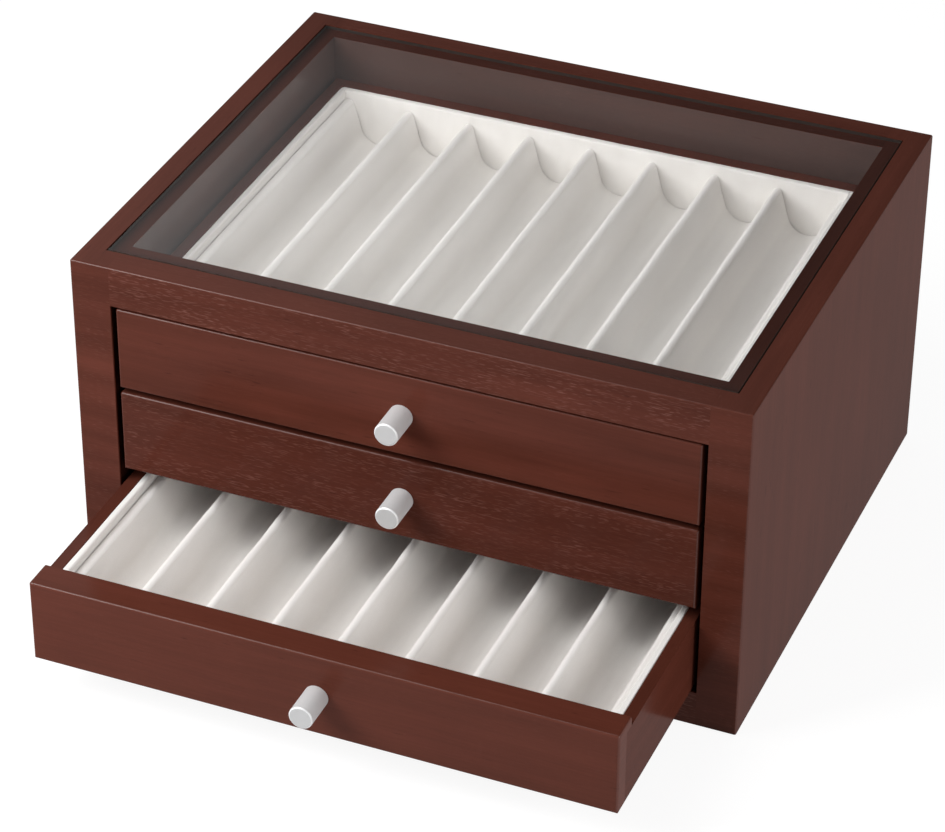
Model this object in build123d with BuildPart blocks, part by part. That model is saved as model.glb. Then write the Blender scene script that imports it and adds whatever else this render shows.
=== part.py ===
from build123d import *
from math import radians, tan
import os

# Collector's chest for 24 pens: a glass-topped wooden box with three drawers.
# Millimetres. Origin at the centre of the base, +Z up, front of the chest towards -Y.

os.makedirs("parts", exist_ok=True)

# ---------------------------------------------------------------- driving dimensions

# Carcass boards
chest_width = 285.0
chest_depth = 231.0
side_thickness = 17.0
bottom_thickness = 16.0
back_thickness = 16.0
top_rail_height = 17.5
top_rail_depth = 21.0
carcass_arris = 0.8

# Glass pane, flush in a rebate round the top
glass_thickness = 4.0
glass_border_side = 10.0
glass_border_front = 12.0
glass_border_back = 9.5
glass_groove = 0.4
glass_arris = 0.3

# Dowels between the boards, half of each in either board
dowel_radius = 3.0
dowel_length = 20.0
rail_dowel_spacing = 9.0
bottom_dowel_spacing = 80.0
back_dowel_spacing = 90.0

# Drawer fronts and the black gaps round them
drawer_count = 3
front_height = 37.0
front_thickness = 13.0
front_arris = 1.0
gap_side = 2.3
gap_bottom = 1.0
gap_between = 2.25
gap_top = 1.0
rear_gap = 2.8
drawer_pull = 82.0

# Drawer boxes
drawer_side_thickness = 5.0
drawer_back_thickness = 5.5
drawer_wall_drop = 4.0
rabbet_depth = 5.0
panel_thickness = 3.0
panel_height = 3.0
groove_depth = 2.5

# Velour-covered lining strips and ridged tray
lining_thickness = 3.0
lining_top_radius = 1.0
lining_corner_radius = 2.0
channel_count = 8
tray_border = 2.0
tray_floor = 3.0
ridge_drop = 4.0
ridge_crest_width = 3.0
ridge_crest_radius = 1.8
channel_flank_angle = 16.0
channel_flat_width = 0.8

# Knobs and their screws
knob_diameter = 10.0
knob_length = 15.0
knob_chamfer = 0.8
knob_bore_depth = 9.0
screw_radius = 2.0
screw_length = 16.0
screw_head_radius = 4.0
screw_head_height = 2.6
screw_slot_width = 1.1
screw_slot_depth = 1.4
screw_hole_radius = 2.25
counterbore_radius = 4.5
counterbore_depth = 3.5

# L-shaped runners and rear stop pads inside the carcass
runner_foot = 3.0
runner_web_height = 10.0
runner_setback = 2.0
stop_pad_radius = 4.0
stop_pad_spacing = 200.0

# Clearances
slide_gap = 0.3
tray_gap = 0.3
groove_gap = 0.2
dowel_gap = 0.05
dowel_end_gap = 0.3
thread_gap = 0.05
cut_margin = 1.0

# ---------------------------------------------------------------- derived levels

drawer_step = front_height + gap_between
chest_height = (
    bottom_thickness
    + gap_bottom
    + drawer_count * drawer_step
    - gap_between
    + gap_top
    + top_rail_height
)
half_width = chest_width / 2
front_y = -chest_depth / 2
back_y = chest_depth / 2
inner_x = half_width - side_thickness
inner_back_y = back_y - back_thickness

drawer_x = inner_x - gap_side
drawer_inner_x = drawer_x - drawer_side_thickness
wall_height = front_height - drawer_wall_drop
drawer_length = inner_back_y - front_y - rear_gap
drawer_inside_depth = drawer_length - front_thickness - drawer_back_thickness

glass_pocket_low = (
    glass_border_side - half_width,
    front_y + glass_border_front,
    chest_height - glass_thickness,
)
glass_pocket_high = (
    half_width - glass_border_side,
    back_y - glass_border_back,
    chest_height + cut_margin,
)


def box_between(low, high, mode=Mode.ADD):
    """A box between two corners, in the part that is being built."""
    middle = tuple((a + b) / 2 for a, b in zip(low, high))
    size = tuple(b - a for a, b in zip(low, high))
    with Locations(middle):
        return Box(*size, mode=mode)


def finish(part, name):
    """Label a finished piece and write it."""
    part.label = name
    export_step(part, f"parts/{name}.step")


def on_outer_arris(edge):
    """True for an edge that lies on two of the chest's six outer planes."""
    middle = edge.center()
    on_side = abs(abs(middle.X) - half_width) < 0.01
    on_front_or_back = abs(abs(middle.Y) - chest_depth / 2) < 0.01
    on_top_or_base = min(abs(middle.Z), abs(middle.Z - chest_height)) < 0.01
    return on_side + on_front_or_back + on_top_or_base >= 2


# ---------------------------------------------------------------- carcass

rail_dowel_y = front_y + top_rail_depth / 2
rail_dowel_z = chest_height - (top_rail_height + glass_thickness) / 2
bottom_middle_y = (front_y + inner_back_y) / 2

rail_dowels = [
    (rail_dowel_y - rail_dowel_spacing / 2, rail_dowel_z),
    (rail_dowel_y + rail_dowel_spacing / 2, rail_dowel_z),
]
bottom_dowels = [
    (bottom_middle_y + step * bottom_dowel_spacing, bottom_thickness / 2)
    for step in (-1, 0, 1)
]
back_dowels = [
    (back_y - back_thickness / 2, chest_height / 2 + step * back_dowel_spacing / 2)
    for step in (-1, 1)
]


def dowel_places(points):
    """Places of the dowels at both ends of a board, lying along X."""
    return [
        Location((end * inner_x, y, z), (0, 90, 0)) for end in (-1, 1) for y, z in points
    ]


def bore_dowels(points):
    """Cut the dowel holes out of the part that is being built."""
    with Locations(*dowel_places(points)):
        Cylinder(
            dowel_radius + dowel_gap, dowel_length + 2 * dowel_end_gap, mode=Mode.SUBTRACT
        )


def side_board(end):
    """One side board: end is -1 on the left and +1 on the right."""
    edges_x = sorted((end * half_width, end * inner_x))
    with BuildPart() as board:
        box_between((edges_x[0], front_y, 0), (edges_x[1], back_y, chest_height))
        box_between(glass_pocket_low, glass_pocket_high, mode=Mode.SUBTRACT)
        bore_dowels(rail_dowels + bottom_dowels + back_dowels)
        fillet(board.edges().filter_by(on_outer_arris), radius=carcass_arris)
    return board.part


finish(side_board(-1), "side_left")
finish(side_board(1), "side_right")

with BuildPart() as bottom_board:
    box_between((-inner_x, front_y, 0), (inner_x, inner_back_y, bottom_thickness))
    bore_dowels(bottom_dowels)
    fillet(bottom_board.edges().filter_by(on_outer_arris), radius=carcass_arris)
finish(bottom_board.part, "bottom_board")

with BuildPart() as back_board:
    box_between((-inner_x, inner_back_y, 0), (inner_x, back_y, chest_height))
    box_between(glass_pocket_low, glass_pocket_high, mode=Mode.SUBTRACT)
    bore_dowels(back_dowels)
    fillet(back_board.edges().filter_by(on_outer_arris), radius=carcass_arris)
finish(back_board.part, "back_board")

with BuildPart() as top_rail:
    box_between(
        (-inner_x, front_y, chest_height - top_rail_height),
        (inner_x, front_y + top_rail_depth, chest_height),
    )
    box_between(glass_pocket_low, glass_pocket_high, mode=Mode.SUBTRACT)
    bore_dowels(rail_dowels)
    fillet(top_rail.edges().filter_by(on_outer_arris), radius=carcass_arris)
finish(top_rail.part, "top_rail")

with BuildPart() as dowels:
    with Locations(*dowel_places(rail_dowels + bottom_dowels + back_dowels)):
        Cylinder(dowel_radius, dowel_length)
finish(dowels.part, "dowels")

with BuildPart() as glass_pane:
    box_between(
        (
            glass_pocket_low[0] + glass_groove,
            glass_pocket_low[1] + glass_groove,
            glass_pocket_low[2],
        ),
        (
            glass_pocket_high[0] - glass_groove,
            glass_pocket_high[1] - glass_groove,
            chest_height,
        ),
    )
    chamfer(glass_pane.faces().sort_by(Axis.Z)[-1].edges(), length=glass_arris)
finish(glass_pane.part, "glass_pane")


# ---------------------------------------------------------------- runners and stops


def drawer_base(number):
    """Height of the underside of a drawer, numbered from the top."""
    return bottom_thickness + gap_bottom + (drawer_count - number) * drawer_step


def runner(number, end):
    """L-shaped runner: a foot under the drawer's side and a web beside it."""
    track = drawer_base(number) - slide_gap
    foot = gap_bottom - slide_gap if number == drawer_count else runner_foot
    start_y = front_y + front_thickness + runner_setback
    web_x = sorted((end * inner_x, end * (drawer_x + slide_gap)))
    foot_x = sorted((end * inner_x, end * drawer_inner_x))
    with BuildPart() as strip:
        box_between(
            (foot_x[0], start_y, track - foot), (foot_x[1], inner_back_y, track)
        )
        box_between(
            (web_x[0], start_y, track - foot),
            (web_x[1], inner_back_y, track + runner_web_height),
        )
    return strip.part


for number in range(1, drawer_count + 1):
    finish(runner(number, -1), f"runner_{number}_left")
    finish(runner(number, 1), f"runner_{number}_right")

with BuildPart() as stop_pads:
    with Locations(
        *[
            Location(
                (
                    end * stop_pad_spacing / 2,
                    inner_back_y - (rear_gap - slide_gap) / 2,
                    drawer_base(number) + wall_height / 2,
                ),
                (90, 0, 0),
            )
            for number in range(1, drawer_count + 1)
            for end in (-1, 1)
        ]
    ):
        Cylinder(stop_pad_radius, rear_gap - slide_gap)
finish(stop_pads.part, "stop_pads")


# ---------------------------------------------------------------- drawers

lining_inner_x = drawer_inner_x - lining_thickness
tray_x = lining_inner_x - tray_gap
channel_pitch = 2 * (tray_x - tray_border) / channel_count
channel_top_width = channel_pitch - ridge_crest_width
tray_height = wall_height - ridge_drop - panel_height - panel_thickness
channel_depth = tray_height - tray_floor
channel_bottom_width = channel_top_width - 2 * channel_depth * tan(
    radians(channel_flank_angle)
)
channel_radius = (channel_bottom_width - channel_flat_width) / (
    2 * tan(radians(90 - channel_flank_angle) / 2)
)


class Drawer:
    """Where one drawer stands: its front face, its underside and its inside ends."""

    def __init__(self, number):
        pulled = drawer_pull if number == drawer_count else 0
        self.y = front_y - pulled
        self.z = drawer_base(number)
        self.middle_z = self.z + front_height / 2
        self.wall_top = self.z + wall_height
        self.inside_front = self.y + front_thickness
        self.inside_back = self.inside_front + drawer_inside_depth
        self.end = self.y + drawer_length
        self.panel_low = (
            -drawer_inner_x - groove_depth,
            self.inside_front - groove_depth,
            self.z + panel_height,
        )
        self.panel_high = (
            drawer_inner_x + groove_depth,
            self.inside_back + groove_depth,
            self.z + panel_height + panel_thickness,
        )
        self.floor = self.panel_high[2]


def side_box(drawer, end, mode=Mode.ADD):
    """The block that a drawer side fills, let into the front by the rabbet."""
    edges_x = sorted((end * drawer_x, end * drawer_inner_x))
    box_between(
        (edges_x[0], drawer.inside_front - rabbet_depth, drawer.z),
        (edges_x[1], drawer.end, drawer.wall_top),
        mode=mode,
    )


def drawer_front(drawer):
    """Front board: rabbets for the sides, groove for the bottom, hole for the screw."""

    def on_eased_arris(edge):
        middle = edge.center()
        on_face = abs(middle.Y - drawer.y) < 0.01
        on_top_end = (
            abs(abs(middle.X) - drawer_x) < 0.01
            and abs(middle.Z - drawer.z - front_height) < 0.01
        )
        return on_face or on_top_end

    with BuildPart() as board:
        box_between(
            (-drawer_x, drawer.y, drawer.z),
            (drawer_x, drawer.inside_front, drawer.z + front_height),
        )
        fillet(board.edges().filter_by(on_eased_arris), radius=front_arris)
        side_box(drawer, -1, mode=Mode.SUBTRACT)
        side_box(drawer, 1, mode=Mode.SUBTRACT)
        box_between(drawer.panel_low, drawer.panel_high, mode=Mode.SUBTRACT)
        with Locations(
            Location((0, drawer.inside_front, drawer.middle_z), (-90, 0, 0))
        ):
            CounterBoreHole(screw_hole_radius, counterbore_radius, counterbore_depth)
    return board.part


def drawer_side(drawer, end):
    """Side of the drawer box, grooved for the bottom panel."""
    with BuildPart() as board:
        side_box(drawer, end)
        box_between(drawer.panel_low, drawer.panel_high, mode=Mode.SUBTRACT)
    return board.part


def drawer_back(drawer):
    """Back of the drawer box, between the sides."""
    with BuildPart() as board:
        box_between(
            (-drawer_inner_x, drawer.inside_back, drawer.z),
            (drawer_inner_x, drawer.end, drawer.wall_top),
        )
        box_between(drawer.panel_low, drawer.panel_high, mode=Mode.SUBTRACT)
    return board.part


def drawer_panel(drawer):
    """Bottom panel, loose in the grooves by the groove gap."""
    low = drawer.panel_low
    high = drawer.panel_high
    with BuildPart() as panel:
        box_between(
            (low[0] + groove_gap, low[1] + groove_gap, low[2]),
            (high[0] - groove_gap, high[1] - groove_gap, high[2]),
        )
    return panel.part


def side_lining(drawer, end):
    """Lining strip along a drawer side, its outer corners rounded."""
    edges_x = sorted((end * drawer_inner_x, end * lining_inner_x))

    def on_outer_corner(edge):
        return abs(abs(edge.center().X) - drawer_inner_x) < 0.01

    with BuildPart() as strip:
        box_between(
            (edges_x[0], drawer.inside_front, drawer.floor),
            (edges_x[1], drawer.inside_back, drawer.wall_top),
        )
        corners = strip.edges().filter_by(Axis.Z).filter_by(on_outer_corner)
        fillet(corners, radius=lining_corner_radius)
        fillet(strip.faces().sort_by(Axis.Z)[-1].edges(), radius=lining_top_radius)
    return strip.part


def cross_lining(drawer, near_y):
    """Lining strip across the drawer, between the side linings."""
    with BuildPart() as strip:
        box_between(
            (-lining_inner_x, near_y, drawer.floor),
            (lining_inner_x, near_y + lining_thickness, drawer.wall_top),
        )
        top_edges = strip.faces().sort_by(Axis.Z)[-1].edges().filter_by(Axis.X)
        fillet(top_edges, radius=lining_top_radius)
    return strip.part


def tray(drawer):
    """Ridged tray: a block with rounded pen channels cut along its length."""
    front = drawer.inside_front + lining_thickness + tray_gap
    back = drawer.inside_back - lining_thickness - tray_gap
    crest = drawer.floor + tray_height
    section_plane = Plane(
        origin=(0, front, drawer.floor), x_dir=(1, 0, 0), z_dir=(0, -1, 0)
    )
    with BuildPart() as block:
        with BuildSketch(section_plane) as section:
            with Locations((0, tray_height / 2)):
                Rectangle(2 * tray_x, tray_height)
            with GridLocations(channel_pitch, 0, channel_count, 1):
                with Locations((0, tray_height)):
                    Trapezoid(
                        channel_top_width,
                        channel_depth,
                        90 - channel_flank_angle,
                        rotation=180,
                        align=(Align.CENTER, Align.MIN),
                        mode=Mode.SUBTRACT,
                    )
            levels = section.vertices().group_by(Axis.Y)
            fillet(levels[1], radius=channel_radius)
            crests = section.vertices().group_by(Axis.Y)[-1].sort_by(Axis.X)[1:-1]
            fillet(crests, radius=ridge_crest_radius)
        extrude(amount=-(back - front))
    return block.part


def knob(drawer):
    """Turned knob with a chamfered face and a threaded bore in its back."""
    with BuildPart() as turned:
        with BuildSketch(
            Plane(origin=(0, drawer.y, drawer.middle_z), z_dir=(0, -1, 0))
        ):
            Circle(knob_diameter / 2)
        extrude(amount=knob_length)
        face = turned.faces().sort_by(Axis.Y)[0]
        chamfer(face.edges(), length=knob_chamfer)
        with Locations(Location((0, drawer.y, drawer.middle_z), (-90, 0, 0))):
            Hole(screw_radius + thread_gap, depth=knob_bore_depth)
    return turned.part


def knob_screw(drawer):
    """Pan-head screw from inside the drawer front into the knob."""
    seat_y = drawer.inside_front - counterbore_depth
    seat = Plane(origin=(0, seat_y, drawer.middle_z), x_dir=(1, 0, 0), z_dir=(0, 1, 0))
    with BuildPart() as screw:
        with BuildSketch(seat):
            Circle(screw_head_radius)
        extrude(amount=screw_head_height)
        with BuildSketch(seat):
            Circle(screw_radius)
        extrude(amount=-screw_length)
        with BuildSketch(seat.offset(screw_head_height)):
            Rectangle(screw_head_radius, screw_slot_width)
            Rectangle(screw_slot_width, screw_head_radius)
        extrude(amount=-screw_slot_depth, mode=Mode.SUBTRACT)
    return screw.part


for number in range(1, drawer_count + 1):
    place = Drawer(number)
    name = f"drawer_{number}"
    finish(drawer_front(place), f"{name}_front")
    finish(drawer_side(place, -1), f"{name}_side_left")
    finish(drawer_side(place, 1), f"{name}_side_right")
    finish(drawer_back(place), f"{name}_back")
    finish(drawer_panel(place), f"{name}_bottom")
    finish(side_lining(place, -1), f"{name}_lining_left")
    finish(side_lining(place, 1), f"{name}_lining_right")
    finish(cross_lining(place, place.inside_front), f"{name}_lining_front")
    finish(
        cross_lining(place, place.inside_back - lining_thickness), f"{name}_lining_back"
    )
    finish(tray(place), f"{name}_tray")
    finish(knob(place), f"{name}_knob")
    finish(knob_screw(place), f"{name}_knob_screw")
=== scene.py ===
"""Looks of a glass-topped pen collector chest with three velour-lined drawers."""

import math

import bpy
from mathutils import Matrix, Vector


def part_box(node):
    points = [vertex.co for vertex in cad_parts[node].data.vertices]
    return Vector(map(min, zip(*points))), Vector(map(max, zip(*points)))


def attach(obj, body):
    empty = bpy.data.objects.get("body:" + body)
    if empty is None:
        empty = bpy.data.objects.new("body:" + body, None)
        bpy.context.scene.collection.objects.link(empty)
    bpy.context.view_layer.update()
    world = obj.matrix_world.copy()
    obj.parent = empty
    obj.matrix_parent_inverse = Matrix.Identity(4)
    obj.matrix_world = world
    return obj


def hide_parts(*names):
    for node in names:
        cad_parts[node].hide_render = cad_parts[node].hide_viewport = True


bl_info = {
    "name": "Pen Collector Chest",
    "version": (1, 0, 0),
    "blender": (4, 5, 0),
    "location": "3D View > Sidebar > Chest",
    "description": "Wood, velour, glass and metal of a pen collector chest with three drawers",
    "category": "Object",
}

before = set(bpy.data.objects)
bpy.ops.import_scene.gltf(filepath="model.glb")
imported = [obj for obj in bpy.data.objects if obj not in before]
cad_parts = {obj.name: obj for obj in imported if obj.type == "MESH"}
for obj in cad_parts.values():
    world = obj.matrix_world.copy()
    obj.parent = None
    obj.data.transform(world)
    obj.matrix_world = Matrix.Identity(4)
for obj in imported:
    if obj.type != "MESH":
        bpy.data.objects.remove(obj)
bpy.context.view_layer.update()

MM = 0.001
DRAWERS = (1, 2, 3)
TOLERANCE = 0.02 * MM

LIGHT_TARGET = (0.0, 0.0, 0.08)
KEY_PLACE, KEY_SIZE = (-0.50, -0.515, 0.55), 0.42
TOP_PLACE, TOP_SIZE = (-0.25, -0.30, 0.75), 0.35
FILL_PLACE, FILL_SIZE = (1.25, -0.25, 0.35), 0.8
FLOOR_SIZE = 14.0
FLOOR_GLOW = 0.9
FLOOR_SHADE_LOST = 0.7

STRIP_STEPS, STRIP_MARGIN = 40, 3.0 * MM
TRAY_STEPS, TRAY_MARGIN = 60, 0.4 * MM
STRIP_WAVE, TRAY_WAVE = 12.0 * MM, 16.0 * MM
KNOB_RIM_INSET, KNOB_DISH_INSET = 0.9 * MM, 2.0 * MM
KNOB_RIM_EASING = 0.12 * MM

# each drawer front: pore strength, band strength, tone, coat; the 1.2 tone of drawer 3 is painted
# light, which draws that front lighter because it stands nearer the key lamp
DRAWER_FINISH = {
    1: (0.04, 1.1, 1.0, 0.14),
    2: (0.30, 0.8, 0.86, 0.14),
    3: (0.05, 0.5, 1.2, 0.2),
}
# painted shade: wood faces that look up are drawn at this share of their brightness
TOP_FACE_PAINTED_SHADE = 0.83
TOP_FACE_COAT = 0.4
ARRIS_COAT = 0.5
# painted shade on the carcass boards' inner faces; the next share eases it in the display space
# under the glass
INNER_PAINTED_SHADE = 0.75
DISPLAY_SHADE_EASING = 0.20


# ---------------------------------------------------------------- sizes and colours


def length(name, description, default):
    """A size in metres that a user can change."""
    return bpy.props.FloatProperty(
        name=name, description=description, default=default, unit="LENGTH", precision=5
    )


def angle(name, description, degrees):
    """An angle that a user can change."""
    return bpy.props.FloatProperty(
        name=name, description=description, default=math.radians(degrees), subtype="ANGLE"
    )


def colour(name, description, default):
    """A linear colour that a user can change."""
    return bpy.props.FloatVectorProperty(
        name=name,
        description=description,
        default=default,
        size=3,
        subtype="COLOR",
        min=0.0,
        max=1.0,
    )


def share(name, description, default):
    """A plain factor that a user can change."""
    return bpy.props.FloatProperty(name=name, description=description, default=default)


class ChestSizes(bpy.types.PropertyGroup):
    """Sizes of the soft and turned pieces."""

    channels: bpy.props.IntProperty(
        name="Channels", description="Pen channels in each tray", default=8
    )
    tray_border: length("Tray border", "Flat strip at each side of the tray", 2.0 * MM)
    tray_floor: length("Tray floor", "Tray thickness under the channels", 3.0 * MM)
    crest_width: length("Crest width", "Ridge width before its crest is rounded", 3.0 * MM)
    crest_radius: length("Crest radius", "Rounding of the ridge crests", 1.95 * MM)
    flank: angle("Flank", "Lean of the ridge sides from the vertical", 16.0)
    flat_width: length("Flat width", "Flat strip at the bottom of a channel", 0.8 * MM)
    nap_wave: length("Nap unevenness", "How far the velour waves over its card", 0.35 * MM)
    lining_top: length("Lining top", "Rounding of the lining strips' top edges", 0.9 * MM)
    lining_corner: length("Lining corner", "Rounding of the outer corners", 2.0 * MM)
    knob_chamfer: length("Knob chamfer", "Chamfer round the knob's face", 0.5 * MM)
    knob_foot: length("Knob foot", "Easing of the knob's back edge", 0.25 * MM)
    knob_dish: length("Knob dish", "How far the knob's face is dished", 0.12 * MM)
    pad_radius: length("Pad radius", "Radius of the felt pads", 4.0 * MM)
    pad_edge: length("Pad edge", "Rounding of the felt pads", 0.6 * MM)


class ChestColours(bpy.types.PropertyGroup):
    """Colours of the finishes, linear."""

    stain_light: colour("Stain light", "Pale bands of the stained wood", (0.116, 0.0315, 0.0200))
    stain_dark: colour("Stain dark", "Deep bands of the stained wood", (0.077, 0.0205, 0.0122))
    pore: colour("Pores", "Pale pore streaks in the lacquer", (0.25, 0.112, 0.088))
    # painted reflection: a grey veil added to the walls round the glass tray, standing for the
    # pane's reflection over them
    painted_glass_reflection: colour("Bloom", "Grey bloom of the walls round the glass tray", (0.038, 0.035, 0.033))
    mark: colour("Marks", "Dark flecks in the veneer", (0.03, 0.008, 0.006))
    velour: colour("Velour", "Cream velour", (0.89, 0.866, 0.840))
    velour_shade: colour("Velour shade", "Velour where the nap lies away", (0.83, 0.803, 0.775))
    glass: colour("Glass", "Tint of the pane", (0.970, 0.968, 0.972))
    # painted shade: the pane's edges are drawn dark brown, for the shaded ledge and gap seen at
    # them
    glass_edge_shade: colour("Glass edge", "Ground edges of the pane", (0.030, 0.019, 0.015))
    aluminium: colour("Aluminium", "Satin knobs", (0.90, 0.90, 0.905))
    steel: colour("Steel", "Zinc-plated screws", (0.62, 0.62, 0.60))
    felt: colour("Felt", "Dark felt pads", (0.022, 0.018, 0.016))
    beech: colour("Beech", "Bare dowels", (0.58, 0.40, 0.22))
    floor: colour("Floor", "Pale studio floor", (0.64, 0.64, 0.645))


class StudioSettings(bpy.types.PropertyGroup):
    """Camera and lamps."""

    camera_place: bpy.props.FloatVectorProperty(
        name="Camera place",
        description="Where the camera stands",
        default=(0.4714, -1.1859, 0.8919),
        subtype="TRANSLATION",
        unit="LENGTH",
    )
    camera_turn: bpy.props.FloatVectorProperty(
        name="Camera turn",
        description="The camera's XYZ turn",
        default=tuple(math.radians(a) for a in (56.3664, -0.2849, 22.6015)),
        subtype="EULER",
    )
    lens: share("Lens", "Focal length in millimetres on a 36 mm sensor", 138.032)
    world_low: share("World low", "Brightness of the studio at the horizon", 0.45)
    world_high: share("World high", "Brightness of the studio overhead", 0.20)
    panel_low: share("Panel low", "Dark end of the wall behind the chest", 0.08)
    panel_high: share("Panel high", "Pale end of the wall behind the chest", 0.58)
    key_power: share("Key power", "Watts of the softbox at the front left", 5.3)
    top_power: share("Top power", "Watts of the softbox overhead", 1.9)
    fill_power: share("Fill power", "Watts of the softbox at the right", 7.6)


# ---------------------------------------------------------------- modelling by hand


def deselect_all():
    """Leave edit mode and select nothing."""
    if bpy.context.object and bpy.context.object.mode != "OBJECT":
        bpy.ops.object.mode_set(mode="OBJECT")
    bpy.ops.object.select_all(action="DESELECT")


def settle(piece):
    """Put a finished piece's place into its mesh, so that its object is at the origin."""
    deselect_all()
    piece.select_set(True)
    bpy.context.view_layer.objects.active = piece
    bpy.ops.object.transform_apply(location=True, rotation=True, scale=True)


def start_block(name, low, high):
    """A block between two corners, to be shaped."""
    deselect_all()
    middle = [(a + b) / 2 for a, b in zip(low, high)]
    size = [b - a for a, b in zip(low, high)]
    bpy.ops.mesh.primitive_cube_add(size=1, location=middle, scale=size)
    piece = bpy.context.object
    piece.name = piece.data.name = name
    settle(piece)
    return piece


def pick(piece, kind, wanted):
    """Enter edit mode with those vertices, edges or faces selected that pass a test."""
    bpy.ops.object.mode_set(mode="OBJECT")
    mesh = piece.data
    kinds = ("VERT", "EDGE", "FACE")
    bpy.context.tool_settings.mesh_select_mode = [kind == k for k in kinds]
    for group in (mesh.vertices, mesh.edges, mesh.polygons):
        group.foreach_set("select", [False] * len(group))
    if kind == "VERT":
        for vertex in mesh.vertices:
            vertex.select = wanted(vertex.co)
    elif kind == "EDGE":
        for edge in mesh.edges:
            edge.select = wanted(*[mesh.vertices[i].co for i in edge.vertices])
    else:
        for face in mesh.polygons:
            face.select = wanted(face.center, face.normal)
    bpy.ops.object.mode_set(mode="EDIT")


def cut_across(piece, axis, places):
    """Bisect the whole piece at places along an axis."""
    pick(piece, "VERT", lambda point: True)
    normal = [float(axis == i) for i in range(3)]
    for place in places:
        bpy.ops.mesh.select_all(action="SELECT")
        point = [place * n for n in normal]
        bpy.ops.mesh.bisect(plane_co=point, plane_no=normal)
    bpy.ops.object.mode_set(mode="OBJECT")


def bevel_picked(width, segments):
    """Round the selected edges."""
    bpy.ops.mesh.bevel(offset=width, segments=segments, affect="EDGES", clamp_overlap=True)
    bpy.ops.object.mode_set(mode="OBJECT")


def smooth(piece, degrees=35.0):
    """Smooth shading up to an angle."""
    deselect_all()
    piece.select_set(True)
    bpy.context.view_layer.objects.active = piece
    bpy.ops.object.shade_smooth_by_angle(angle=math.radians(degrees))
    weigh = piece.modifiers.new("weigh", "WEIGHTED_NORMAL")
    weigh.keep_sharp = True
    bpy.ops.object.modifier_apply(modifier=weigh.name)


def wave_surface(piece, depth, scale, wanted):
    """Let the chosen vertices wave a little along their normals."""
    deselect_all()
    bpy.context.view_layer.objects.active = piece
    piece.select_set(True)
    group = piece.vertex_groups.new(name="waved")
    group.add([v.index for v in piece.data.vertices if wanted(v.co)], 1.0, "REPLACE")
    cloud = bpy.data.textures.get("velour_cloud") or bpy.data.textures.new(
        "velour_cloud", "CLOUDS"
    )
    cloud.noise_scale = scale
    cloud.noise_depth = 1
    wave = piece.modifiers.new("wave", "DISPLACE")
    wave.texture = cloud
    wave.texture_coords = "LOCAL"
    wave.vertex_group = group.name
    wave.strength = depth
    wave.mid_level = 0.5
    bpy.ops.object.modifier_apply(modifier=wave.name)
    piece.vertex_groups.clear()


def copy_shifted(piece, name, shift):
    """A copy with its own mesh, moved in its mesh."""
    deselect_all()
    piece.select_set(True)
    bpy.context.view_layer.objects.active = piece
    bpy.ops.object.duplicate(linked=False)
    made = bpy.context.object
    made.name = made.data.name = name
    made.location = shift
    settle(made)
    return made


def dress(piece, material):
    """Give a piece or a CAD node one material all over."""
    piece.data.materials.clear()
    piece.data.materials.append(material)


def dress_nodes(names, material):
    """Give CAD nodes a material."""
    for name in names:
        dress(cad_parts[name], material)


def mount_piece(piece, body, slot, *nodes):
    """Fix a finished piece to its body and hide the nodes that it stands for."""
    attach(piece, body)
    if nodes:
        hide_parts(*nodes)


# ---------------------------------------------------------------- material building


def new_material(name):
    """An empty node material and its tree."""
    material = bpy.data.materials.new(name)
    material.use_nodes = True
    material.node_tree.nodes.clear()
    return material, material.node_tree


def add(tree, kind, inputs=None, **settings):
    """A node with its settings, and its inputs set or linked."""
    made = tree.nodes.new(kind)
    for key, value in settings.items():
        setattr(made, key, value)
    for key, value in (inputs or {}).items():
        if isinstance(value, bpy.types.NodeSocket):
            tree.links.new(value, made.inputs[key])
        else:
            made.inputs[key].default_value = value
    return made


def maths(tree, operation, first, second=0.0, clamp=False):
    """The result of a Math node."""
    inputs = {0: first, 1: second}
    return add(tree, "ShaderNodeMath", inputs, operation=operation, use_clamp=clamp).outputs[0]


def blend_colours(tree, factor, first, second, mode="MIX"):
    """Two colours mixed."""
    inputs = {0: factor, 6: first, 7: second}
    mix = add(tree, "ShaderNodeMix", inputs, data_type="RGBA", blend_type=mode)
    return mix.outputs[2]


def blend_vectors(tree, factor, first, second):
    """Two vectors mixed."""
    mix = add(tree, "ShaderNodeMix", {0: factor, 4: first, 5: second}, data_type="VECTOR")
    return mix.outputs[1]


def blend_values(tree, factor, first, second):
    """Two numbers mixed."""
    return add(tree, "ShaderNodeMix", {0: factor, 2: first, 3: second}).outputs[0]


def stretch(tree, vector, scale, shift=(0.0, 0.0, 0.0)):
    """A vector multiplied along each axis, then shifted."""
    return add(
        tree,
        "ShaderNodeVectorMath",
        {0: vector, 1: scale, 2: shift},
        operation="MULTIPLY_ADD",
    ).outputs[0]


def noise(tree, vector, detail=2.0, roughness=0.5):
    """Noise from 0 to 1 at a scale of 1."""
    inputs = {"Vector": vector, "Scale": 1.0, "Detail": detail, "Roughness": roughness}
    return add(tree, "ShaderNodeTexNoise", inputs).outputs[0]


def ramp(tree, value, low, high, start=0.0, end=1.0):
    """A value mapped from low..high to start..end, clamped."""
    inputs = {"Value": value, 1: low, 2: high, 3: start, 4: end}
    return add(tree, "ShaderNodeMapRange", inputs, clamp=True).outputs[0]


def even_grey(tree, level):
    """A grey of one level."""
    return add(tree, "ShaderNodeCombineColor", {0: level, 1: level, 2: level}).outputs[0]


def seen_directly(tree):
    """1 for what the camera sees itself, in a gloss or through the glass, 0 for lighting."""
    path = add(tree, "ShaderNodeLightPath")
    seen = path.outputs["Is Camera Ray"]
    for ray in ("Is Glossy Ray", "Is Transmission Ray"):
        seen = maths(tree, "MAXIMUM", seen, path.outputs[ray])
    return seen


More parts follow.
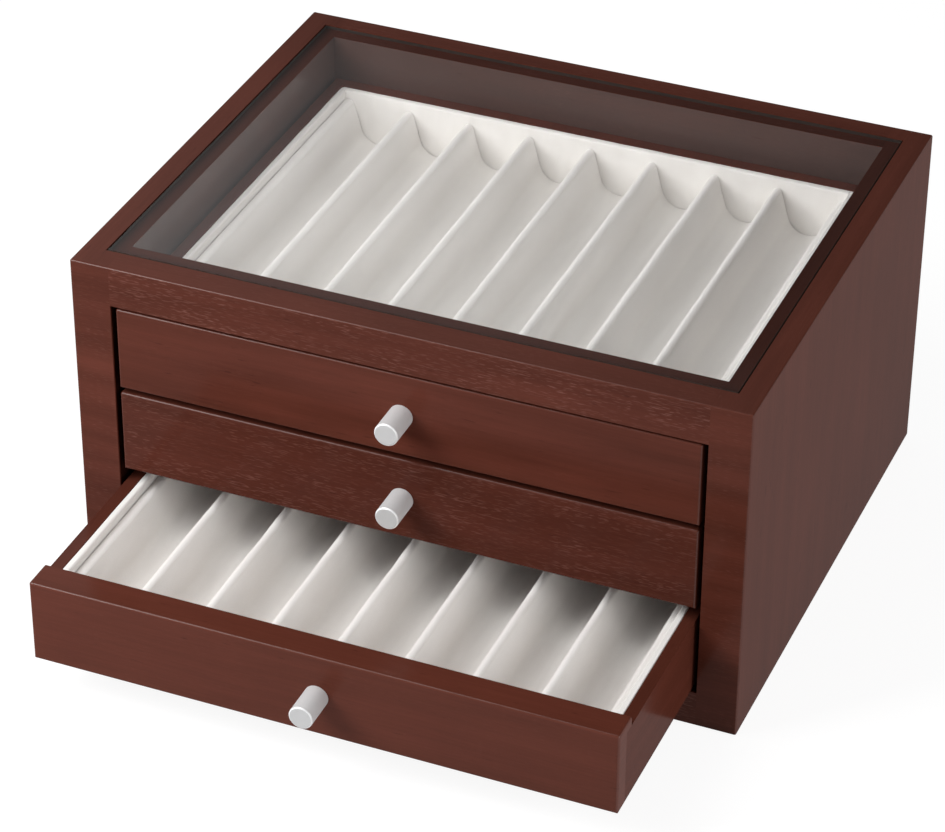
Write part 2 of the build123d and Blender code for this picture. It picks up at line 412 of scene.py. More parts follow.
def finish_material(tree, shader):
    """Join a shader to the output."""
    add(tree, "ShaderNodeOutputMaterial", {"Surface": shader})


def solid(rgb):
    """A colour with full alpha."""
    return (*rgb, 1.0)


# ---------------------------------------------------------------- wood

GRAIN_ORDER = {"X": 0, "Y": 1, "Z": 2}


def grain_vector(tree, front, side, top):
    """Coordinates with their first axis along the grain, by the way each face looks.

    Each of front, side and top names the axes along, across and through the veneer.
    """
    coordinates = add(tree, "ShaderNodeTexCoord")
    place = add(tree, "ShaderNodeSeparateXYZ", {0: coordinates.outputs["Object"]}).outputs
    facing = add(tree, "ShaderNodeSeparateXYZ", {0: coordinates.outputs["Normal"]}).outputs

    def ordered(axes):
        inputs = {i: place[GRAIN_ORDER[a]] for i, a in enumerate(axes)}
        return add(tree, "ShaderNodeCombineXYZ", inputs).outputs[0]

    def looks_along(axis):
        return maths(tree, "GREATER_THAN", maths(tree, "ABSOLUTE", facing[axis]), 0.72)

    to_side = looks_along(0)
    to_top = looks_along(2)
    vector = blend_vectors(tree, to_side, ordered(front), ordered(side))
    return blend_vectors(tree, to_top, vector, ordered(top)), to_side, to_top


def inner_faces(tree):
    """Two masks that place painted shade and a painted reflection: the boards' faces towards the
    drawers, and those in the display space.
    """
    place = add(tree, "ShaderNodeTexCoord").outputs["Object"]
    across, deep, height = add(tree, "ShaderNodeSeparateXYZ", {0: place}).outputs
    margin = 0.1 * MM
    rail_low, rail_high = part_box("top_rail")
    limits = (
        ("LESS_THAN", maths(tree, "ABSOLUTE", across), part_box("side_right")[0].x + margin),
        ("LESS_THAN", deep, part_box("back_board")[0].y + margin),
        ("GREATER_THAN", deep, rail_low.y + 1.0 * MM),
        ("LESS_THAN", height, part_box("glass_pane")[0].z - margin),
        ("GREATER_THAN", height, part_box("bottom_board")[1].z - margin),
    )
    inside = 1.0
    for operation, value, limit in limits:
        inside = maths(tree, "MULTIPLY", inside, maths(tree, operation, value, limit))
    display = maths(tree, "GREATER_THAN", deep, rail_high.y - margin)
    return inside, maths(tree, "MULTIPLY", inside, display)


def arris_mask(tree):
    """1 on the rounded arrises, 0 on the flat faces."""
    facing = add(tree, "ShaderNodeTexCoord").outputs["Normal"]
    axes = add(tree, "ShaderNodeSeparateXYZ", {0: facing}).outputs
    largest = 0.0
    for axis in axes:
        largest = maths(tree, "MAXIMUM", largest, maths(tree, "ABSOLUTE", axis))
    return ramp(tree, largest, 0.9, 0.985, 1.0, 0.0)


def stained_wood(
    name,
    colours,
    grain=("XZY", "ZYX", "XYZ"),
    shift=0.0,
    pores=(1.0, 0.2, 0.5),
    bands=(1.0, 0.35, 0.6),
    darkness=1.0,
    coat=0.14,
    inner_coat=None,
):
    """Mahogany stain under lacquer: broad bands, fine fibre, pore streaks and a few marks, with
    painted shade on faces that look up.

    pores and bands give the strength of the streaks and bands on fronts, sides and tops.
    inner_coat is the lacquer on the walls round the glass tray, for boards that have some; those
    boards also get painted shade on their inner faces and a painted grey reflection in the
    display space.
    """
    material, tree = new_material(name)
    vector, to_side, to_top = grain_vector(tree, *grain)
    vector = stretch(tree, vector, (1.0, 1.0, 1.0), (shift, shift * 0.37, shift * 0.61))

    broad = noise(tree, stretch(tree, vector, (7.0, 90.0, 90.0)), 3.0, 0.55)
    fibre = noise(tree, stretch(tree, vector, (38.0, 1150.0, 1150.0)), 3.0, 0.6)
    cloud = noise(tree, stretch(tree, vector, (14.0, 22.0, 22.0)), 2.0)
    streak = noise(tree, stretch(tree, vector, (320.0, 2900.0, 2900.0)), 0.0)
    patch = noise(tree, stretch(tree, vector, (30.0, 110.0, 110.0)), 1.0)
    fleck = noise(tree, stretch(tree, vector, (110.0, 700.0, 700.0)), 1.0)

    def by_facing(levels):
        """A strength that depends on how the face looks."""
        on_front, on_side, on_top = levels
        level = maths(tree, "MULTIPLY", to_side, on_side - on_front)
        level = maths(tree, "ADD", level, on_front)
        return maths(tree, "ADD", level, maths(tree, "MULTIPLY", to_top, on_top - on_front))

    swing = maths(tree, "SUBTRACT", ramp(tree, broad, 0.28, 0.72), 0.5)
    tone = maths(tree, "ADD", maths(tree, "MULTIPLY", swing, by_facing(bands)), 0.5)
    stain = blend_colours(tree, tone, solid(colours.stain_dark), solid(colours.stain_light))
    shade = ramp(tree, fibre, 0.25, 0.75, 0.92, 1.07)
    haze = ramp(tree, cloud, 0.3, 0.7, 0.93, 1.07)
    level = maths(tree, "MULTIPLY", maths(tree, "MULTIPLY", shade, haze), darkness)
    # painted shade: faces that look up are drawn darker
    level = maths(tree, "MULTIPLY", level, blend_values(tree, to_top, 1.0, TOP_FACE_PAINTED_SHADE))
    if inner_coat is not None:
        # painted shade: inner faces drawn darker, the reveal round the drawers most and the
        # display space less
        inside, display = inner_faces(tree)
        darker = maths(tree, "MULTIPLY", inside, INNER_PAINTED_SHADE)
        inner_shade_level = maths(tree, "SUBTRACT", 1.0, darker)
        shade_easing = maths(tree, "MULTIPLY", display, DISPLAY_SHADE_EASING)
        inner_shade_level = maths(tree, "ADD", inner_shade_level, shade_easing)
        level = maths(tree, "MULTIPLY", level, inner_shade_level)
    stain = blend_colours(tree, 1.0, stain, even_grey(tree, level), "MULTIPLY")
    # painted reflection: a grey veil added to the walls in the display space
    if inner_coat is not None:
        stain = blend_colours(tree, display, stain, solid(colours.painted_glass_reflection), "ADD")

    strokes = ramp(tree, streak, 0.60, 0.74)
    strokes = maths(tree, "MULTIPLY", strokes, ramp(tree, patch, 0.35, 0.65, 0.25, 1.0))
    strokes = maths(tree, "MULTIPLY", strokes, by_facing(pores), True)
    stain = blend_colours(tree, strokes, stain, solid(colours.pore))
    dark = maths(tree, "MULTIPLY", ramp(tree, fleck, 0.70, 0.80), 0.35)
    stain = blend_colours(tree, dark, stain, solid(colours.mark))

    height = maths(tree, "SUBTRACT", maths(tree, "MULTIPLY", fibre, 0.5), strokes)
    bump = add(
        tree,
        "ShaderNodeBump",
        {"Height": height, "Strength": 0.2, "Distance": 0.00006},
    )
    rough = ramp(tree, fibre, 0.3, 0.7, 0.46, 0.55)
    coat = ramp(tree, to_top, 0.0, 1.0, coat, max(coat, TOP_FACE_COAT))
    if inner_coat is not None:
        coat = blend_values(tree, display, coat, inner_coat)
    on_arris = maths(tree, "MULTIPLY", arris_mask(tree), ARRIS_COAT)
    coat = maths(tree, "MAXIMUM", coat, on_arris)
    shader = add(
        tree,
        "ShaderNodeBsdfPrincipled",
        {
            "Base Color": stain,
            "Roughness": rough,
            "Specular IOR Level": 0.0,
            "Coat Weight": coat,
            "Coat Roughness": 0.16,
            "Normal": bump.outputs[0],
        },
    )
    finish_material(tree, shader.outputs[0])
    return material


class CHEST_OT_carcass_wood(bpy.types.Operator):
    """Stain and lacquer the boards of the carcass, with painted shade on their inner faces and a
    painted grey reflection round the glass tray
    """

    bl_idname = "chest.carcass_wood"
    bl_label = "Carcass Wood"

    def execute(self, context):
        colours = context.scene.chest_colours
        sides = stained_wood(
            "stained_side_board",
            colours,
            ("XZY", "ZYX", "YXZ"),
            0.0,
            (0.14, 0.03, 0.05),
            inner_coat=0.3,
        )
        dress_nodes(["side_left", "side_right"], sides)
        rail = stained_wood(
            "stained_rail",
            colours,
            ("XZY", "ZYX", "XYZ"),
            0.31,
            (0.42, 0.05, 0.08),
            inner_coat=0.5,
        )
        dress_nodes(["top_rail", "bottom_board"], rail)
        back = stained_wood(
            "stained_back_board",
            colours,
            ("XZY", "ZYX", "XYZ"),
            0.57,
            (0.1, 0.1, 0.1),
            inner_coat=0.3,
        )
        dress_nodes(["back_board"], back)
        return {"FINISHED"}


class CHEST_OT_drawer_wood(bpy.types.Operator):
    """Stain and lacquer the boards of the drawers"""

    bl_idname = "chest.drawer_wood"
    bl_label = "Drawer Wood"

    def execute(self, context):
        colours = context.scene.chest_colours
        for number in DRAWERS:
            name = f"drawer_{number}"
            pore, bands, tone, coat = DRAWER_FINISH[number]
            front = stained_wood(
                f"stained_{name}_front",
                colours,
                ("XZY", "YZX", "XYZ"),
                0.83 * number,
                (pore, 0.05, pore * 0.3),
                (bands, 0.3, 0.5),
                tone,
                coat=coat,
            )
            dress_nodes([f"{name}_front"], front)
            box = stained_wood(
                f"stained_{name}_box",
                colours,
                ("XZY", "YZX", "YXZ"),
                1.7 * number,
                (0.1, 0.05, 0.05),
                (0.6, 0.5, 0.5),
            )
            dress_nodes(
                [f"{name}_{part}" for part in ("side_left", "side_right", "back", "bottom")], box
            )
        return {"FINISHED"}


# ---------------------------------------------------------------- hidden hardware


def felt_material(colours):
    """Dark pressed felt."""
    material, tree = new_material("dark_felt")
    place = add(tree, "ShaderNodeTexCoord").outputs["Object"]
    fuzz = noise(tree, stretch(tree, place, (2600.0,) * 3), 3.0, 0.7)
    tint = blend_colours(
        tree, fuzz, solid(colours.felt), solid([min(1.0, c * 2.4) for c in colours.felt])
    )
    bump = add(tree, "ShaderNodeBump", {"Height": fuzz, "Strength": 0.6, "Distance": 0.0002})
    shader = add(
        tree,
        "ShaderNodeBsdfPrincipled",
        {
            "Base Color": tint,
            "Roughness": 0.95,
            "Sheen Weight": 0.3,
            "Normal": bump.outputs[0],
        },
    )
    finish_material(tree, shader.outputs[0])
    return material


def bare_wood_material(name, colour_value):
    """Bare straight-grained wood, grain along X."""
    material, tree = new_material(name)
    place = add(tree, "ShaderNodeTexCoord").outputs["Object"]
    fibre = noise(tree, stretch(tree, place, (60.0, 1400.0, 1400.0)), 3.0, 0.6)
    tint = blend_colours(
        tree, fibre, solid([c * 0.75 for c in colour_value]), solid(colour_value)
    )
    bump = add(tree, "ShaderNodeBump", {"Height": fibre, "Strength": 0.3, "Distance": 0.0001})
    shader = add(
        tree,
        "ShaderNodeBsdfPrincipled",
        {"Base Color": tint, "Roughness": 0.7, "Normal": bump.outputs[0]},
    )
    finish_material(tree, shader.outputs[0])
    return material


def plated_steel_material(colours):
    """Zinc-plated steel with faint cloudy plating."""
    material, tree = new_material("plated_steel")
    place = add(tree, "ShaderNodeTexCoord").outputs["Object"]
    cloud = noise(tree, stretch(tree, place, (900.0,) * 3), 3.0, 0.6)
    rough = ramp(tree, cloud, 0.3, 0.7, 0.28, 0.42)
    tint = blend_colours(
        tree, cloud, solid([c * 0.85 for c in colours.steel]), solid(colours.steel)
    )
    shader = add(
        tree,
        "ShaderNodeBsdfPrincipled",
        {"Base Color": tint, "Metallic": 1.0, "Roughness": rough},
    )
    finish_material(tree, shader.outputs[0])
    return material


class CHEST_OT_hardware(bpy.types.Operator):
    """Finish the dowels, runners, screws and rear stop pads"""

    bl_idname = "chest.hardware"
    bl_label = "Dowels, Runners, Screws and Pads"

    def execute(self, context):
        colours = context.scene.chest_colours
        sizes = context.scene.chest_sizes
        dress_nodes(["dowels"], bare_wood_material("bare_beech", colours.beech))
        strip = stained_wood(
            "stained_runner",
            colours,
            ("XZY", "YZX", "YXZ"),
            3.1,
            (0.1, 0.1, 0.1),
            (0.5, 0.5, 0.5),
            0.6,
        )
        dress_nodes([f"runner_{n}_{end}" for n in DRAWERS for end in ("left", "right")], strip)
        dress_nodes(
            [f"drawer_{n}_knob_screw" for n in DRAWERS], plated_steel_material(colours)
        )
        self.make_pads(colours, sizes)
        return {"FINISHED"}

    def make_pads(self, colours, sizes):
        """Six round felt pads on the back board, modelled once and copied."""
        low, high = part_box("stop_pads")
        depth = high.y - low.y
        radius = sizes.pad_radius
        levels = [
            (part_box(f"drawer_{n}_back")[0].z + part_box(f"drawer_{n}_back")[1].z) / 2
            for n in DRAWERS
        ]
        spots = [(x, z) for z in levels for x in (low.x + radius, high.x - radius)]
        deselect_all()
        bpy.ops.mesh.primitive_cylinder_add(
            vertices=40,
            radius=radius,
            depth=depth,
            location=(spots[0][0], (low.y + high.y) / 2, spots[0][1]),
            rotation=(math.radians(90), 0, 0),
        )
        pad = bpy.context.object
        settle(pad)
        pick(pad, "EDGE", lambda a, b: max(a.y, b.y) < low.y + TOLERANCE)
        bevel_picked(sizes.pad_edge, 4)
        smooth(pad)
        pads = [pad]
        for x, z in spots[1:]:
            shift = (x - spots[0][0], 0.0, z - spots[0][1])
            pads.append(copy_shifted(pad, "pad", shift))
        deselect_all()
        for one in pads:
            one.select_set(True)
        bpy.context.view_layer.objects.active = pad
        bpy.ops.object.join()
        pad.name = pad.data.name = "felt_stop_pads"
        dress(pad, felt_material(colours))
        mount_piece(pad, "carcass", "felt", "stop_pads")


# ---------------------------------------------------------------- velour


def velour_material(colours):
    """Cream velour: short nap, faint strokes where it has been brushed, soft sheen."""
    material, tree = new_material("cream_velour")
    place = add(tree, "ShaderNodeTexCoord").outputs["Object"]
    nap = noise(tree, stretch(tree, place, (3200.0, 3200.0, 3200.0)), 2.0, 0.6)
    strokes = noise(tree, stretch(tree, place, (160.0, 22.0, 60.0)), 3.0, 0.55)
    tone = ramp(tree, strokes, 0.3, 0.7)
    tint = blend_colours(tree, tone, solid(colours.velour_shade), solid(colours.velour))
    grain = ramp(tree, nap, 0.25, 0.75, 0.96, 1.03)
    tint = blend_colours(tree, 1.0, tint, even_grey(tree, grain), "MULTIPLY")
    height = maths(tree, "ADD", nap, maths(tree, "MULTIPLY", strokes, 0.8))
    bump = add(tree, "ShaderNodeBump", {"Height": height, "Strength": 0.16, "Distance": 0.0002})
    shader = add(
        tree,
        "ShaderNodeBsdfPrincipled",
        {
            "Base Color": tint,
            "Roughness": 0.92,
            "Specular IOR Level": 0.2,
            "Sheen Weight": 0.35,
            "Sheen Roughness": 0.45,
            "Sheen Tint": (1.0, 0.99, 0.96, 1.0),
            "Normal": bump.outputs[0],
        },
    )
    finish_material(tree, shader.outputs[0])
    return material


def get_velour(context):
    """The one velour of the chest, made when it is first wanted."""
    return bpy.data.materials.get("cream_velour") or velour_material(
        context.scene.chest_colours
    )


def drawer_shift(number):
    """From the top drawer to another one, at rest."""
    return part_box(f"drawer_{number}_front")[0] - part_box("drawer_1_front")[0]


class CHEST_OT_linings(bpy.types.Operator):
    """Wrap the drawers' lining strips in velour"""

    bl_idname = "chest.linings"
    bl_label = "Lining Strips"

    def execute(self, context):
        sizes = context.scene.chest_sizes
        velour = get_velour(context)
        for part in ("left", "right", "front", "back"):
            strip = self.make_strip(part, sizes)
            dress(strip, velour)
            for number in DRAWERS:
                name = f"velour_lining_{part}_{number}"
                if number == 1:
                    strip.name = strip.data.name = name
                    piece = strip
                else:
                    piece = copy_shifted(strip, name, drawer_shift(number))
                node_name = f"drawer_{number}_lining_{part}"
                mount_piece(piece, f"drawer_{number}", "velour", node_name)
        return {"FINISHED"}

    def make_strip(self, part, sizes):
        """One lining strip of the top drawer, its top edges and outer corners rounded."""
        low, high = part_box(f"drawer_1_lining_{part}")
        strip = start_block(f"velour_lining_{part}", low, high)
        along = 1 if part in ("left", "right") else 0
        if along == 1:
            outer = low.x if part == "left" else high.x

            def on_corner(a, b):
                upright = abs(a.z - b.z) > TOLERANCE
                return upright and max(abs(a.x - outer), abs(b.x - outer)) < TOLERANCE

            pick(strip, "EDGE", on_corner)
            bevel_picked(sizes.lining_corner, 6)

        def on_top(a, b):
            if min(a.z, b.z) < high.z - TOLERANCE:
                return False
            return along == 1 or abs(a.x - b.x) > TOLERANCE

        pick(strip, "EDGE", on_top)
        bevel_picked(sizes.lining_top, 6)
        start, end = low[along], high[along]
        span = end - start - 2 * STRIP_MARGIN
        first = start + STRIP_MARGIN
        places = [first + span * i / STRIP_STEPS for i in range(STRIP_STEPS + 1)]
        cut_across(strip, along, places)
        middle = (low.z + high.z) / 2
        wave_surface(
            strip, sizes.nap_wave * 0.5, STRIP_WAVE, lambda point: point.z > middle
        )
        smooth(strip, 40.0)
        return strip


class CHEST_OT_trays(bpy.types.Operator):
    """Form the ridged velour trays"""

    bl_idname = "chest.trays"
    bl_label = "Ridged Trays"

    def execute(self, context):
        sizes = context.scene.chest_sizes
        tray = self.make_tray(sizes)
        dress(tray, get_velour(context))
        for number in DRAWERS:
            name = f"velour_tray_{number}"
            if number == 1:
                tray.name = tray.data.name = name
                piece = tray
            else:
                piece = copy_shifted(tray, name, drawer_shift(number))
            mount_piece(piece, f"drawer_{number}", "velour", f"drawer_{number}_tray")
        return {"FINISHED"}

    def make_tray(self, sizes):
        """The top drawer's tray: channels lowered out of a block, then rounded."""
        low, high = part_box("drawer_1_tray")
        tray = start_block("velour_tray", low, high)
        count = sizes.channels
        pitch = (high.x - low.x - 2 * sizes.tray_border) / count
        depth = high.z - low.z - sizes.tray_floor
        half_top = (pitch - sizes.crest_width) / 2
        half_bottom = half_top - depth * math.tan(sizes.flank)
        turn = math.tan((math.pi / 2 - sizes.flank) / 2)
        centre = (low.x + high.x) / 2
        middles = [centre + (i - (count - 1) / 2) * pitch for i in range(count)]
        edges = (-half_top, -half_bottom, half_bottom, half_top)
        cut_across(tray, 0, [middle + edge for middle in middles for edge in edges])

        def nearest(x):
            return min(abs(x - middle) for middle in middles)

        def on_channel_bottom(point):
            return point.z > high.z - TOLERANCE and nearest(point.x) < half_bottom + TOLERANCE

        pick(tray, "VERT", on_channel_bottom)
        bpy.ops.transform.translate(value=(0, 0, -depth))

        def lengthwise(a, b, offset, level):
            return (
                abs(a.y - b.y) > TOLERANCE
                and abs(a.z - level) < TOLERANCE
                and abs(b.z - level) < TOLERANCE
                and abs(nearest(a.x) - offset) < TOLERANCE
            )

        bottom = high.z - depth
        pick(tray, "EDGE", lambda a, b: lengthwise(a, b, half_bottom, bottom))
        bevel_picked(half_bottom - sizes.flat_width / 2, 12)
        pick(tray, "EDGE", lambda a, b: lengthwise(a, b, half_top, high.z))
        bevel_picked(sizes.crest_radius * turn, 6)
        span = high.y - low.y - 2 * TRAY_MARGIN
        first = low.y + TRAY_MARGIN
        cut_across(tray, 1, [first + span * i / TRAY_STEPS for i in range(TRAY_STEPS + 1)])
        side = sizes.tray_border * 0.5
        wave_surface(
            tray,
            sizes.nap_wave,
            TRAY_WAVE,
            lambda point: point.z > low.z + sizes.tray_floor * 0.5
            and low.x + side < point.x < high.x - side,
        )
        smooth(tray, 40.0)
        return tray


# ---------------------------------------------------------------- glass


class CHEST_OT_glass(bpy.types.Operator):
    """Clear float glass for the pane in the top, its edges drawn dark brown as painted shade"""

    bl_idname = "chest.glass"
    bl_label = "Glass Pane"

    def execute(self, context):
        colours = context.scene.chest_colours
        material, tree = new_material("clear_glass")
        place = add(tree, "ShaderNodeTexCoord").outputs["Object"]
        ripple = noise(tree, stretch(tree, place, (9.0, 9.0, 9.0)), 1.0)
        bump = add(
            tree, "ShaderNodeBump", {"Height": ripple, "Strength": 0.02, "Distance": 0.0005}
        )
        pane = add(
            tree,
            "ShaderNodeBsdfPrincipled",
            {
                "Base Color": solid(colours.glass),
                "Roughness": 0.0,
                "IOR": 1.45,
                "Transmission Weight": 1.0,
                "Normal": bump.outputs[0],
            },
        )
        clear = add(tree, "ShaderNodeBsdfTransparent", {"Color": (0.895, 0.90, 0.895, 1.0)})
        path = add(tree, "ShaderNodeLightPath")
        mix = add(
            tree,
            "ShaderNodeMixShader",
            {0: path.outputs["Is Shadow Ray"], 1: pane.outputs[0], 2: clear.outputs[0]},
        )
        # painted shade: the pane's edges are drawn as opaque dark brown
        painted_edge_shade = add(
            tree,
            "ShaderNodeBsdfPrincipled",
            {
                "Base Color": solid(colours.glass_edge_shade),
                "Roughness": 0.8,
                "Specular IOR Level": 0.1,
            },
        )
        facing = add(tree, "ShaderNodeTexCoord").outputs["Normal"]
        upward = add(tree, "ShaderNodeSeparateXYZ", {0: facing}).outputs[2]
        edge = maths(tree, "LESS_THAN", maths(tree, "ABSOLUTE", upward), 0.9)
        whole = add(
            tree, "ShaderNodeMixShader", {0: edge, 1: mix.outputs[0], 2: painted_edge_shade.outputs[0]}
        )
        finish_material(tree, whole.outputs[0])
        dress_nodes(["glass_pane"], material)
        return {"FINISHED"}


# ---------------------------------------------------------------- knobs


def turned_aluminium(name, colours, middle):
    """Satin aluminium with fine turning marks round an axis along Y, a painted highlight on the
    chamfer ring and painted shade on the face and the side.
    """
    material, tree = new_material(name)
    place = add(tree, "ShaderNodeTexCoord").outputs["Object"]
    centred = add(
        tree,
        "ShaderNodeMapping",
        {"Vector": place, "Location": tuple(-c for c in middle)},
    ).outputs[0]
    axes = add(tree, "ShaderNodeSeparateXYZ", {0: centred}).outputs
    squares = maths(
        tree,
        "ADD",
        maths(tree, "MULTIPLY", axes[0], axes[0]),
        maths(tree, "MULTIPLY", axes[2], axes[2]),
    )
    radius = maths(tree, "SQRT", squares)
    rings = add(
        tree,
        "ShaderNodeCombineXYZ",
        {
            0: maths(tree, "MULTIPLY", radius, 5200.0),
            1: maths(tree, "MULTIPLY", axes[1], 4200.0),
            2: 0.0,
        },
    ).outputs[0]
    marks = noise(tree, rings, 2.0, 0.7)
    cloud = noise(tree, stretch(tree, centred, (420.0,) * 3), 2.0)
    tint = blend_colours(
        tree, cloud, solid([c * 0.93 for c in colours.aluminium]), solid(colours.aluminium)
    )
    # painted highlight and shade: the chamfer ring is drawn brightest, the face and the side
    # darker, by the way they look
    facing = add(tree, "ShaderNodeTexCoord").outputs["Normal"]
    endwise = maths(
        tree, "ABSOLUTE", add(tree, "ShaderNodeSeparateXYZ", {0: facing}).outputs[1]
    )
    level = maths(
        tree,
        "SUBTRACT",
        ramp(tree, endwise, 0.2, 0.5, 0.82, 1.0),
        ramp(tree, endwise, 0.85, 0.97, 0.0, 0.30),
    )
    tint = blend_colours(tree, 1.0, tint, even_grey(tree, level), "MULTIPLY")
    bump = add(tree, "ShaderNodeBump", {"Height": marks, "Strength": 0.25, "Distance": 0.00003})
    shader = add(
        tree,
        "ShaderNodeBsdfPrincipled",
        {
            "Base Color": tint,
            "Metallic": 0.25,
            "Roughness": ramp(tree, marks, 0.3, 0.7, 0.42, 0.52),
            "Normal": bump.outputs[0],
        },
    )
    finish_material(tree, shader.outputs[0])
    return material


class CHEST_OT_knobs(bpy.types.Operator):
    """Turn the three aluminium knobs"""

    bl_idname = "chest.knobs"
    bl_label = "Knobs"

    def execute(self, context):
        sizes = context.scene.chest_sizes
        colours = context.scene.chest_colours
        knob = self.make_knob(sizes)
        for number in DRAWERS:
            name = f"turned_knob_{number}"
            if number == 1:
                knob.name = knob.data.name = name
                piece = knob
            else:
                piece = copy_shifted(knob, name, drawer_shift(number))
            low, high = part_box(f"drawer_{number}_knob")
            material = turned_aluminium(
                f"turned_aluminium_{number}", colours, (low + high) / 2
            )
            dress(piece, material)
            node_name = f"drawer_{number}_knob"
            mount_piece(piece, f"drawer_{number}", "knob_aluminium", node_name)
        return {"FINISHED"}

    def make_knob(self, sizes):
        """The top drawer's knob: chamfered face with a slight dish and an eased foot."""
        low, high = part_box("drawer_1_knob")
        radius = (high.x - low.x) / 2
        deselect_all()
        bpy.ops.mesh.primitive_cylinder_add(
            vertices=96,
            radius=radius,
            depth=high.y - low.y,
            location=(low + high) / 2,
            rotation=(math.radians(90), 0, 0),
        )
        knob = bpy.context.object
        settle(knob)
        pick(knob, "EDGE", lambda a, b: max(a.y, b.y) < low.y + TOLERANCE)
        bevel_picked(sizes.knob_chamfer, 1)
        rim = sizes.knob_chamfer

        def on_rim(a, b):
            return abs(a.y - b.y) < TOLERANCE and a.y < low.y + rim + TOLERANCE

        pick(knob, "EDGE", on_rim)
        bevel_picked(KNOB_RIM_EASING, 3)
        pick(knob, "FACE", lambda centre, normal: normal.y < -0.99)
        bpy.ops.mesh.inset(thickness=KNOB_RIM_INSET)
        bpy.ops.mesh.inset(thickness=KNOB_DISH_INSET)
        bpy.ops.transform.translate(value=(0, sizes.knob_dish, 0))
        pick(knob, "EDGE", lambda a, b: min(a.y, b.y) > high.y - TOLERANCE)
        bevel_picked(sizes.knob_foot, 3)
        smooth(knob, 30.0)
        return knob


# ---------------------------------------------------------------- stage


def softbox(name, place, size, power):
    """A square area lamp turned to the chest."""
    deselect_all()
    bpy.ops.object.light_add(type="AREA", location=place)
    lamp = bpy.context.object
    lamp.name = lamp.data.name = name
    lamp.data.shape = "SQUARE"
    lamp.data.size = size
    lamp.data.energy = power
    lamp.visible_transmission = False
    way = Vector(LIGHT_TARGET) - lamp.location
    lamp.rotation_euler = way.to_track_quat("-Z", "Y").to_euler()


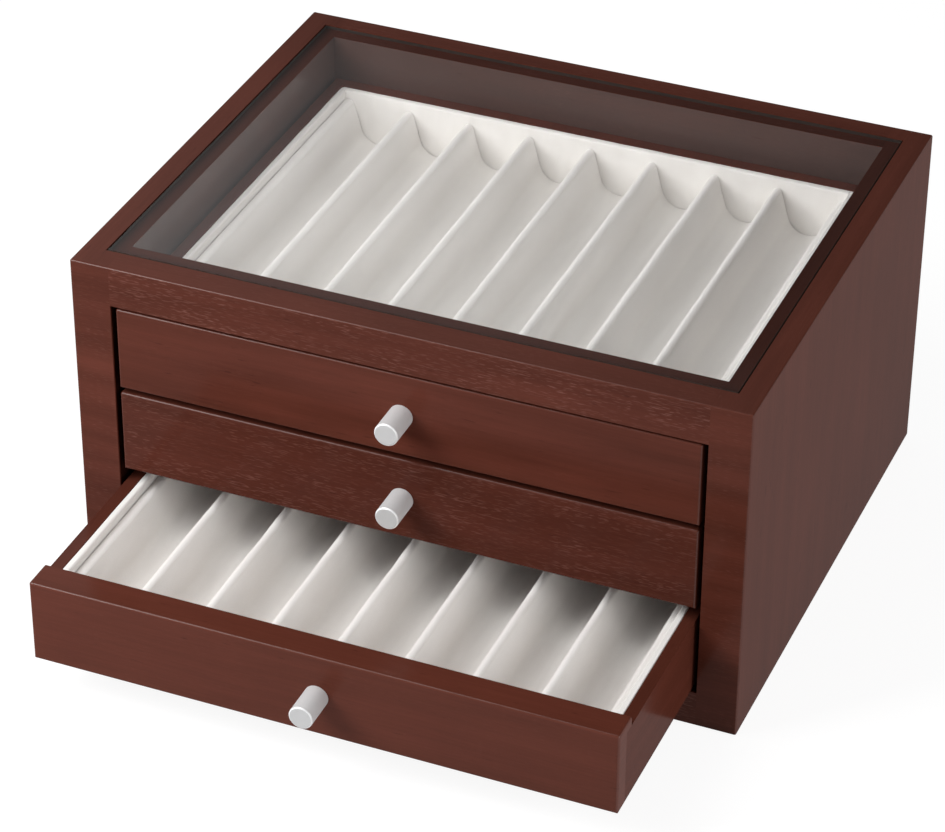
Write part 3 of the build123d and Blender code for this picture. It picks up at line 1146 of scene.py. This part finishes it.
class CHEST_OT_stage(bpy.types.Operator):
    """Floor, lamps and the camera"""

    bl_idname = "chest.stage"
    bl_label = "Studio Stage"

    def execute(self, context):
        studio = context.scene.chest_studio
        colours = context.scene.chest_colours
        self.make_floor(colours)
        self.make_lamps(context, studio)
        self.make_camera(context, studio)
        return {"FINISHED"}

    def make_floor(self, colours):
        """A wide pale floor under the base."""
        deselect_all()
        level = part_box("side_left")[0].z
        bpy.ops.mesh.primitive_plane_add(size=FLOOR_SIZE, location=(0, 0, level - 0.05 * MM))
        floor = bpy.context.object
        floor.name = floor.data.name = "studio_floor"
        settle(floor)
        material, tree = new_material("pale_floor")
        seen = seen_directly(tree)
        kept = maths(tree, "SUBTRACT", 1.0, maths(tree, "MULTIPLY", seen, FLOOR_SHADE_LOST))
        shade = blend_colours(
            tree, 1.0, solid(colours.floor), even_grey(tree, kept), "MULTIPLY"
        )
        shader = add(
            tree,
            "ShaderNodeBsdfPrincipled",
            {
                "Base Color": shade,
                "Roughness": 0.9,
                "Specular IOR Level": 0.1,
                "Emission Color": (1.0, 1.0, 1.0, 1.0),
                "Emission Strength": maths(tree, "MULTIPLY", seen, FLOOR_GLOW),
            },
        )
        finish_material(tree, shader.outputs[0])
        dress(floor, material)

    def make_lamps(self, context, studio):
        """Soft light from the front left, from above and from the right."""
        softbox("key_softbox", KEY_PLACE, KEY_SIZE, studio.key_power)
        softbox("top_softbox", TOP_PLACE, TOP_SIZE, studio.top_power)
        softbox("fill_softbox", FILL_PLACE, FILL_SIZE, studio.fill_power)
        world = bpy.data.worlds.new("pale_studio")
        context.scene.world = world
        world.use_nodes = True
        tree = world.node_tree
        tree.nodes.clear()
        way = add(tree, "ShaderNodeTexCoord").outputs["Generated"]
        across, behind, height = add(tree, "ShaderNodeSeparateXYZ", {0: way}).outputs
        level = ramp(tree, height, 0.05, 0.45, studio.world_low, studio.world_high)
        slant = maths(tree, "SUBTRACT", maths(tree, "MULTIPLY", height, 1.5), across)
        panel = ramp(tree, slant, 1.05, 1.19, studio.panel_low, studio.panel_high)
        on_panel = maths(
            tree, "MULTIPLY", ramp(tree, behind, 0.55, 0.7), ramp(tree, height, 0.3, 0.42)
        )
        step = maths(tree, "MULTIPLY", maths(tree, "SUBTRACT", panel, level), on_panel)
        level = maths(tree, "ADD", level, step)
        low_sky = ramp(tree, height, 0.15, 0.4, 1.0, 0.0)
        whitened = maths(tree, "MULTIPLY", seen_directly(tree), low_sky)
        level = blend_values(tree, whitened, level, 1.0)
        sky = add(
            tree, "ShaderNodeBackground", {"Color": (1.0, 1.0, 1.0, 1.0), "Strength": level}
        )
        add(tree, "ShaderNodeOutputWorld", {"Surface": sky.outputs[0]})

    def make_camera(self, context, studio):
        """A long lens from above the front right, as in the photograph."""
        deselect_all()
        bpy.ops.object.camera_add(location=studio.camera_place, rotation=studio.camera_turn)
        camera = bpy.context.object
        camera.name = camera.data.name = "photo_camera"
        camera.data.sensor_width = 36.0
        camera.data.lens = studio.lens
        camera.data.clip_end = 50.0
        context.scene.camera = camera
        context.scene.view_settings.view_transform = "Standard"


# ---------------------------------------------------------------- add-on

STEPS = (
    CHEST_OT_carcass_wood,
    CHEST_OT_drawer_wood,
    CHEST_OT_hardware,
    CHEST_OT_linings,
    CHEST_OT_trays,
    CHEST_OT_glass,
    CHEST_OT_knobs,
    CHEST_OT_stage,
)


class CHEST_PT_panel(bpy.types.Panel):
    """Sizes, colours and building steps of the chest"""

    bl_idname = "CHEST_PT_panel"
    bl_label = "Pen Collector Chest"
    bl_space_type = "VIEW_3D"
    bl_region_type = "UI"
    bl_category = "Chest"

    def draw(self, context):
        layout = self.layout
        for title, group in (
            ("Sizes", context.scene.chest_sizes),
            ("Colours", context.scene.chest_colours),
            ("Studio", context.scene.chest_studio),
        ):
            box = layout.box()
            box.label(text=title)
            for key in group.bl_rna.properties.keys():
                if key not in ("rna_type", "name"):
                    box.prop(group, key)
        for step in STEPS:
            layout.operator(step.bl_idname)


CLASSES = (ChestSizes, ChestColours, StudioSettings, *STEPS, CHEST_PT_panel)


def register():
    """Add the classes and the scene's settings."""
    for one in CLASSES:
        bpy.utils.register_class(one)
    bpy.types.Scene.chest_sizes = bpy.props.PointerProperty(type=ChestSizes)
    bpy.types.Scene.chest_colours = bpy.props.PointerProperty(type=ChestColours)
    bpy.types.Scene.chest_studio = bpy.props.PointerProperty(type=StudioSettings)


def unregister():
    """Take the classes and the settings away again."""
    del bpy.types.Scene.chest_studio
    del bpy.types.Scene.chest_colours
    del bpy.types.Scene.chest_sizes
    for one in reversed(CLASSES):
        bpy.utils.unregister_class(one)


def main():
    """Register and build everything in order."""
    register()
    bpy.ops.chest.carcass_wood()
    bpy.ops.chest.drawer_wood()
    bpy.ops.chest.hardware()
    bpy.ops.chest.linings()
    bpy.ops.chest.trays()
    bpy.ops.chest.glass()
    bpy.ops.chest.knobs()
    bpy.ops.chest.stage()
    deselect_all()


if __name__ == "__main__":
    main()
